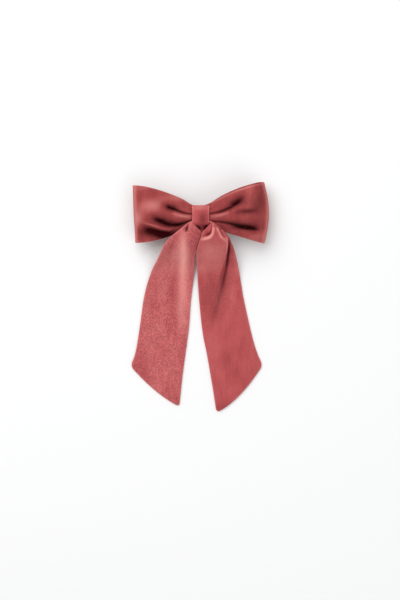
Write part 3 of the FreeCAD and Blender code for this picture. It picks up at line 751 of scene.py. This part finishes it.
# %% Right tail's lines
right_tail = {
    "outer": [(3.6, -4.4), (9.4, -6.6), (12.6, -8.9), (16, -11.6), (19.4, -14.6), (22.4, -18.6), (24.6, -23),
              (27.0, -29.4), (29.0, -37), (30.6, -45), (32.4, -56), (34.8, -69.6), (40.8, -96), (44.6, -109),
              (49.4, -120.4)],
    "inner": [(2.6, -5.0), (8.2, -6.8), (6.2, -9.3), (3.4, -12.2), (0.8, -14.8), (0.3, -17.4), (-0.7, -20),
              (-2.1, -24), (-3.5, -30.4), (-2.8, -50.4), (-0.8, -76), (1.6, -96), (4.8, -112),
              (9.6, -140), (12.4, -158.4)],
    "fold": [(0, 7.4), (0.05, 13.0), (0.09, 19.0), (0.12, 21.0), (0.20, 20.8), (0.30, 19.2), (0.40, 16.8),
             (0.50, 13.8), (0.6, 11), (1, 10)],
    "bulge": 5.2,
    "creases": [
        [(8.7, -8.4, 0.9, 0.35), (8.6, -12, 2.0, 0.6), (7.6, -15, 2.4, 1.0), (5.2, -16.6, 1.9, 1.2),
         (2.4, -17.2, 0.8, 1.2), (0.8, -17.6, 0, 1)],
        [(0.4, -19.8, -0.5, 0.8), (3, -19.4, -1.0, 0.9), (6, -18.7, -1.1, 0.9), (8.8, -16.4, -1.1, 0.9),
         (9.9, -12, -0.9, 0.7), (9.7, -8, -0.3, 0.6)],
        [(12.8, -9.4, 0.6, 0.3), (14.8, -12.4, 1.7, 0.6), (16.4, -15.4, 1.9, 0.7), (18, -18, 0.9, 0.7),
         (18.8, -20, 0, 0.8)],
        [(11.6, -9.6, -0.3, 0.5), (13.4, -13, -0.7, 0.6), (15.4, -17, -0.8, 0.7), (18.6, -20.2, -0.5, 0.8),
         (20, -23, 0, 1)],
    ],
    # Painted shade (below 0) and painted highlight (above 0), as spots and as strokes along lines.
    "painted_spots": [
        (5.2, -14.8, 2.2, 1.6, -0.24), (24.6, -36, 3.0, 16, -0.12), (9, -27, 10, 6, 0.22),
        (8, -40, 8, 8, 0.10),
        (26, -154, 18, 3, -0.16), (44, -126, 5, 5, -0.12), (9, -62, 8, 20, -0.16), (18, -56, 3, 8, -0.16),
    ],
    "painted_strokes": [
        [(22.2, -18, -0.5, 0.6), (22.2, -26, -1.0, 1.0), (21.4, -34, -1.0, 1.3), (20.0, -43, -0.75, 1.7),
         (17.6, -54, -0.40, 2.2), (14.6, -66, -0.24, 2.8), (11.8, -78, -0.2, 3.2), (9, -88, 0, 3.6)],
        [(20.4, -19, 0.35, 0.5), (20.4, -26, 0.45, 0.5), (19.6, -34, 0.35, 0.6), (18.0, -44, 0, 0.8)],
        [(0.6, -19.9, 0.3, 0.6), (3.4, -19.5, 0.6, 0.7), (6.4, -18.6, 0.6, 0.7), (8.8, -16.4, 0.5, 0.7),
         (9.8, -12, 0.4, 0.6), (9.4, -8, 0.2, 0.6)],
        [(8.6, -9.6, -0.5, 0.3), (8.4, -12.6, -0.9, 0.45), (7.4, -15.2, -0.8, 0.6), (5.4, -16.6, -0.3, 0.8)],
        [(13.4, -10.2, -0.3, 0.4), (15.2, -13.4, -0.7, 0.6), (17, -16.6, -0.6, 0.7), (18.2, -18.6, 0, 0.7)],
        [(12.2, -10.4, 0.2, 0.5), (14.2, -14.4, 0.4, 0.5), (16.4, -18.4, 0.4, 0.6), (19.2, -20.4, 0.2, 0.8)],
    ],
}
print(f"right tail: fold line of {len(right_tail['fold'])} points")

# %% [markdown]
# ## Folding the rows
# A pleat is an S in cross-section. The rows could be folded with a bend or a lattice, but the amount
# of fold changes from row to row, so each row's points are slid along it to the S and lifted to
# their layer. A row keeps its own shape apart from that, and so the slanted end stays bowed.


# %% Fold the right tail
pleat_overlap = 5.2
fold_least, fold_most = 0.2, 0.94


def folded_rows(tail, plan, along, t):
    """Each row bent back on itself at the pleat. Gives the new plan and the height of each layer."""
    pleat = ((1 - ease(0.22, 0.52, along)) * ease(0.055, 0.12, along))[:, 0]
    fold_x = height_over(tail["fold"], along[:, 0])
    plan = plan.copy()
    rise = np.zeros(plan.shape[:2])
    for row in range(len(plan)):
        start, end = plan[row, 0].copy(), plan[row, -1].copy()
        span = np.linalg.norm(start - end)
        edge = np.clip((fold_x[row] - end[0]) / (start[0] - end[0]), fold_least, fold_most) * span
        back = edge - pleat_overlap
        section = trace([(span, 0), ((edge + span) / 2, 0.1), (back + 1, 0.1), (back, 0.9), (back + 1, 1.7),
                         (edge - 1, 1.8), (edge, 2.7), (edge - 1, 3.5), (edge / 2, 3.6), (0, 3.2)], t[0])
        share = mix(1 - t[0], section[:, 0] / span, pleat[row])[:, None]
        plan[row] += (share - (1 - t[0])[:, None]) * (start - end)
        rise[row] = section[:, 1] * pleat[row]
    return plan, rise


plan, along, t = plain_tail(right_tail, tail_rows, 96)
plan, rise = folded_rows(right_tail, rounded_corners(plan, corner_radius), along, t)
right_surface, right_painted_shading = settle(right_tail, plan, rise, along, t, 1.2)
tail_r = pressed_tube("velvet_tail_right", right_surface, tail_half, right_painted_shading)

# %% [markdown]
# ## Finishing the tails
# Each tail lifts about its fold under the knot. Here each tail gets its velvet finish in place of
# its imported solid, and its placement is baked into its points.

# %% Finish both tails
for tail, body, material, node in (
    (tail_l, "left_tail", left_velvet, "tail_left"),
    (tail_r, "right_tail", right_velvet, "tail_right"),
):
    dress(tail, "velvet", material, node)
    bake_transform(tail)

# %% [markdown]
# ## Where the hidden soft pieces are
# The felt, the winding and the stitches are out of sight behind the bow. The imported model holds
# them as plain solids, in their right places. Their places could be copied here as numbers, but
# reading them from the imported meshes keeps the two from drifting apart. A node of several stitches
# is one mesh, so `separate_boxes` sorts its corners into the solids they belong to.


# %% Read the hidden soft pieces
def corners_of(node):
    """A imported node's corners, in millimetres."""
    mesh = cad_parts[node].data
    co = np.zeros(len(mesh.vertices) * 3)
    mesh.vertices.foreach_get("co", co)
    return co.reshape(-1, 3) / MM


def separate_boxes(node):
    """The boxes of a node's separate solids, in millimetres, from left to right."""
    mesh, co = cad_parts[node].data, corners_of(node)
    group = np.arange(len(co))
    edges = np.array([edge.vertices[:] for edge in mesh.edges])
    same = np.unique(np.round(co, 3), axis=0, return_inverse=True)[1].ravel()
    first_same = same.argsort()[np.searchsorted(np.sort(same), same)]
    links = np.concatenate([edges, np.column_stack([np.arange(len(co)), first_same])])
    while True:
        low = np.minimum(group[links[:, 0]], group[links[:, 1]])
        before = group.copy()
        np.minimum.at(group, links[:, 0], low)
        np.minimum.at(group, links[:, 1], low)
        if (before == group).all():
            break
    boxes = [(co[group == g].min(axis=0), co[group == g].max(axis=0)) for g in np.unique(group)]
    return sorted(boxes, key=lambda box: box[0][0])


print(f"packed stitches: {len(separate_boxes('band_stitches'))} behind the band")

# %% [markdown]
# ## Two-ply thread
# Sewing thread is two plies twisted together, so each thread here is a tube with a two-lobed
# section that turns as it goes. A round tube with a bump would do from afar. The lobes cost little
# and catch the light as real thread does. It is wrapped from a grid, like the cloth.


# %% Thread
thread_sides = 12
lobe_depth = 0.28
thread_weld = 0.001


def thread(name, path, radius, turns):
    """A two-ply thread along a path in millimetres."""
    rows = len(path)
    forward = unit(np.gradient(path, axis=0))
    lift = unit(np.cross(forward, np.array([0.31, 0.17, 0.93])))
    side = np.cross(forward, lift)
    angle = np.linspace(0, 2 * math.pi, thread_sides + 1)
    angle[-1] = 0
    twist = np.linspace(0, turns * math.pi, rows)[:, None]
    lobes = 1 - lobe_depth + lobe_depth * np.abs(np.cos(angle[None, :] - twist))
    ends = np.sin(np.clip(np.linspace(0, 1, rows) * 6, 0, 1) * math.pi / 2)
    ends = np.minimum(ends, ends[::-1])[:, None] * radius
    around = lift[:, None] * np.cos(angle)[None, :, None] + side[:, None] * np.sin(angle)[None, :, None]
    return wrapped_grid(name, path[:, None] + around * (lobes * ends)[..., None], thread_weld)


def joined(name, pieces):
    """The pieces as one mesh under one name."""
    deselect_all()
    for piece in pieces:
        piece.select_set(True)
    bpy.context.view_layer.objects.active = pieces[0]
    if len(pieces) > 1:
        bpy.ops.object.join()
    pieces[0].name = pieces[0].data.name = name
    return pieces[0]


print(f"thread: {thread_sides} sides, lobes {lobe_depth:.0%} deep")

# %% [markdown]
# ## Felt and thread finishes
# Felt is pressed wool, matt and fuzzy, so it takes a fibre noise, a strong bump and some sheen.
# Thread is smoother and tighter, with a finer noise. A picture of real fibres would show more, but
# noise has no seams and stays sharp at any distance. Both are dyed to match the velvet.


# %% Felt and thread finishes
def felt():
    material, nodes, links = new_material("wool_felt")
    shader = nodes["Principled BSDF"]
    place = nodes.new("ShaderNodeTexCoord").outputs["Object"]
    fibres = noise(nodes, links, place, 1500, 5)
    links.new(ramp(nodes, links, fibres, [(0.3, (0.26, 0.05, 0.052)), (0.7, (0.42, 0.11, 0.10))]),
              shader.inputs["Base Color"])
    shader.inputs["Roughness"].default_value = 1.0
    shader.inputs["Sheen Weight"].default_value = 0.3
    links.new(bump(nodes, links, fibres, 0.8, 0.0003), shader.inputs["Normal"])
    return material


def spun_thread():
    material, nodes, links = new_material("spun_thread")
    shader = nodes["Principled BSDF"]
    place = nodes.new("ShaderNodeTexCoord").outputs["Object"]
    strands = noise(nodes, links, place, 4000, 3)
    links.new(ramp(nodes, links, strands, [(0.3, (0.34, 0.06, 0.065)), (0.7, (0.50, 0.11, 0.11))]),
              shader.inputs["Base Color"])
    shader.inputs["Roughness"].default_value = 0.6
    links.new(bump(nodes, links, strands, 0.5, 0.00008), shader.inputs["Normal"])
    return material


wool = felt()
spun = spun_thread()
print("finishes:", wool.name, spun.name)

# %% [markdown]
# ## The felt pad
# A strip of felt lies between the gathers and the clip's arched plate, so the metal doesn't cut the
# thread. Wool felt has no weave: its cut edge is soft and a little lumpy. It could be a box with a
# bend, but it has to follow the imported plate's arch, so its middle line is measured from the packed
# pad and it is wrapped as a pressed tube, like the velvet.

# %% Felt pad
pad_smoothing = 13
edge_lump = 0.12
pad_corners = corners_of("felt_pad")
pad_low, pad_high = pad_corners.min(axis=0), pad_corners.max(axis=0)
pad_x = np.linspace(pad_low[0], pad_high[0], 120)
nearest = np.abs(pad_corners[:, 0][None, :] - pad_x[:, None])
pad_z = np.array([pad_corners[near <= near.min() + 0.6, 2].mean() for near in nearest])
pad_z = np.pad(pad_z, pad_smoothing // 2, mode="edge")
pad_z = np.convolve(pad_z, np.ones(pad_smoothing) / pad_smoothing, mode="valid")
pad_half = 0.5
pad_y = mix(pad_low[1], pad_high[1], stops(14, 0.04))
pad_middle = np.stack(np.broadcast_arrays(pad_x[:, None], pad_y[None, :], pad_z[:, None]), axis=-1).copy()
pad_middle[..., 1] += edge_lump * np.sin(pad_middle[..., 0] * 2.1) * np.sign(pad_middle[..., 1])
pad = pressed_tube("felt_pad_soft", pad_middle, pad_half, 0 * pad_middle[..., 0])
dress(pad, "felt", wool, "felt_pad")
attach(pad, "bow_and_base")

# %% [markdown]
# ## The winding at the waist
# The gathers are held by thread wound tightly round the waist before the band goes on. A curve with
# a round bevel would do it, but the thread's two lobes need the wrapped tube. Its route is a
# flattened helix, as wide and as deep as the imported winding.

# %% Waist winding
wind_low, wind_high = (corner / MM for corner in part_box("waist_thread"))
wind_turns = 5
wind_radius = 0.26
turn = np.linspace(0, 2 * math.pi * wind_turns, wind_turns * 60)
wind_mid = (wind_low + wind_high) / 2
wind_reach = (wind_high - wind_low) / 2 - Vector((1, 1, 1)) * wind_radius
winding = np.column_stack([
    np.linspace(wind_mid.x - wind_reach.x, wind_mid.x + wind_reach.x, len(turn)),
    wind_mid.y + wind_reach.y * np.cos(turn), wind_mid.z + wind_reach.z * np.sin(turn)])
waist = thread("waist_winding", winding, wind_radius, wind_turns * 24)
dress(waist, "thread", spun, "waist_thread")
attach(waist, "bow_and_base")

# %% [markdown]
# ## The stitches
# Whip stitches close the band behind the clip, and short tacks hold the tails' tops. Each real
# stitch sinks a little into the cloth, so each thread here bows slightly between its ends. One
# stitch could be arrayed, but each packed stitch has its own place, so each is drawn in its own box
# and the set is then joined.

# %% Stitches
stitch_radius = 0.24
stitch_bow = 0.15
stitch_turns = 9
for node, name in (("band_stitches", "band_whip_stitches"), ("tail_stitches", "tail_tacks")):
    made = []
    for low, high in separate_boxes(node):
        across = np.linspace(0, 1, 40)[:, None]
        path = mix(low, high, across)
        inward = -1 if node == "band_stitches" else 1
        path[:, 2] = (low[2] + high[2]) / 2 + inward * stitch_bow * np.sin(across[:, 0] * math.pi)
        made.append(thread(name, path, stitch_radius, stitch_turns))
    stitches = joined(name, made)
    dress(stitches, "thread", spun, node)
    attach(stitches, "bow_and_base")
    print(f"{name}: {len(made)} stitches")

# %% [markdown]
# ## Metal
# The clip is pressed steel with a thin nickel plate, brushed along its length. Its spring parts are
# a darker steel, and the pin and rivets are polished wire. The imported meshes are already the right
# shape, so they only get a finish. One even grey would look like plastic, so the colour clouds a
# little, the roughness changes with it, and fine lines run along the metal.


# %% Metal finishes
def metal(name, colour, rough, grain):
    material, nodes, links = new_material(name)
    shader = nodes["Principled BSDF"]
    place = nodes.new("ShaderNodeTexCoord").outputs["Object"]
    lines = noise(nodes, links, place, 900, 3, (0.04, 1, 1))
    cloud = noise(nodes, links, place, 120, 4)
    worn = ramp(nodes, links, cloud, [(0.3, tuple(c * 0.86 for c in colour)), (0.7, colour)])
    links.new(worn, shader.inputs["Base Color"])
    shader.inputs["Metallic"].default_value = 1.0
    roughness = nodes.new("ShaderNodeMapRange")
    roughness.inputs["To Min"].default_value = rough * 0.75
    roughness.inputs["To Max"].default_value = rough * 1.35
    links.new(cloud, roughness.inputs["Value"])
    links.new(roughness.outputs["Result"], shader.inputs["Roughness"])
    links.new(bump(nodes, links, lines, grain, 0.00005), shader.inputs["Normal"])
    return material


nickel = metal("nickel_plate", (0.74, 0.72, 0.68), 0.24, 0.35)
spring = metal("spring_steel", (0.55, 0.56, 0.58), 0.34, 0.5)
wire = metal("polished_wire", (0.80, 0.79, 0.77), 0.14, 0.15)
finishes = {
    "base_plate": nickel, "clasp_arm": nickel, "hinge_pin": wire, "rivets": wire,
    "tension_spring": spring, "catch_saddle": spring, "catch_prong_front": spring,
    "catch_prong_back": spring,
}
for node, material in finishes.items():
    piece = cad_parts[node]
    piece.data.materials.clear()
    piece.data.materials.append(material)
    print(f"{node}: {material.name}")

# %% [markdown]
# ## The table
# The bow lies on a plain white table. A curved backdrop would hide the horizon in a low view, but
# from above a flat sheet is all that shows. It sits a hair below the lowest metal.

# %% Table
deselect_all()
bpy.ops.mesh.primitive_plane_add(size=6, location=(0, 0, cad_low.z - 0.00005))
table_top = bpy.context.object
table_top.name = "table_top"
paper, paper_nodes, paper_links = new_material("white_table")
paper_nodes["Principled BSDF"].inputs["Base Color"].default_value = (0.85, 0.853, 0.856, 1)
paper_nodes["Principled BSDF"].inputs["Roughness"].default_value = 0.9
table_top.data.materials.append(paper)
table_top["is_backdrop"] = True
print(f"table top at {table_top.location.z / MM:.2f} mm")

# %% [markdown]
# ## Light
# One large soft lamp stands at the upper left and a weaker one opposite, with a white sky to fill
# the shadows. A small lamp would make hard shadows, and velvet shows its folds best in soft light
# from one side.

# %% Lamps

def soft_lamp(name, place, aim, size, watts):
    """A round soft lamp at a place, turned towards the aim."""
    data = bpy.data.lights.new(name, "AREA")
    data.shape = "DISK"
    data.size = size
    data.energy = watts
    lamp = bpy.data.objects.new(name, data)
    scene.collection.objects.link(lamp)
    lamp.location = place
    lamp.rotation_euler = (aim - lamp.location).to_track_quat("-Z", "Y").to_euler()
    return lamp


centre = (cad_low + cad_high) / 2
soft_lamp("key_light", (-0.48, 0.60, 1.10), centre, 1.5, 14.5)
soft_lamp("fill_light", (0.7, -0.7, 0.9), centre, 1.2, 3)
world = bpy.data.worlds.new("studio")
scene.world = world
world.use_nodes = True
world.node_tree.nodes["Background"].inputs["Color"].default_value = (1, 1, 1, 1)
world.node_tree.nodes["Background"].inputs["Strength"].default_value = 0.60
print(f"lamps aim at {centre / MM}")

# %% [markdown]
# ## Camera
# The camera looks straight down from 1.6 m with a long lens, which keeps the near loops from looking
# larger than the tails on the table. The lens follows from how much of the table has to show.

# %% Camera
view_height = 0.480
camera_distance = 1.6
camera = bpy.data.objects.new("camera", bpy.data.cameras.new("camera"))
scene.collection.objects.link(camera)
camera.data.sensor_width = 36
camera.data.lens = camera.data.sensor_width * camera_distance / view_height
camera.location = (-0.0008, -0.068, camera_distance)
scene.camera = camera
print(f"lens {camera.data.lens:.0f} mm")

# %% [markdown]
# ## Finish
# Last, the box of everything now in the scene is printed, as the imported model's was at the start.
# Comparing them shows at once if a piece of cloth has grown too large.

# %% Finish
low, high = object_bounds()
print(f"all pieces together measure {(high - low) / MM} mm")
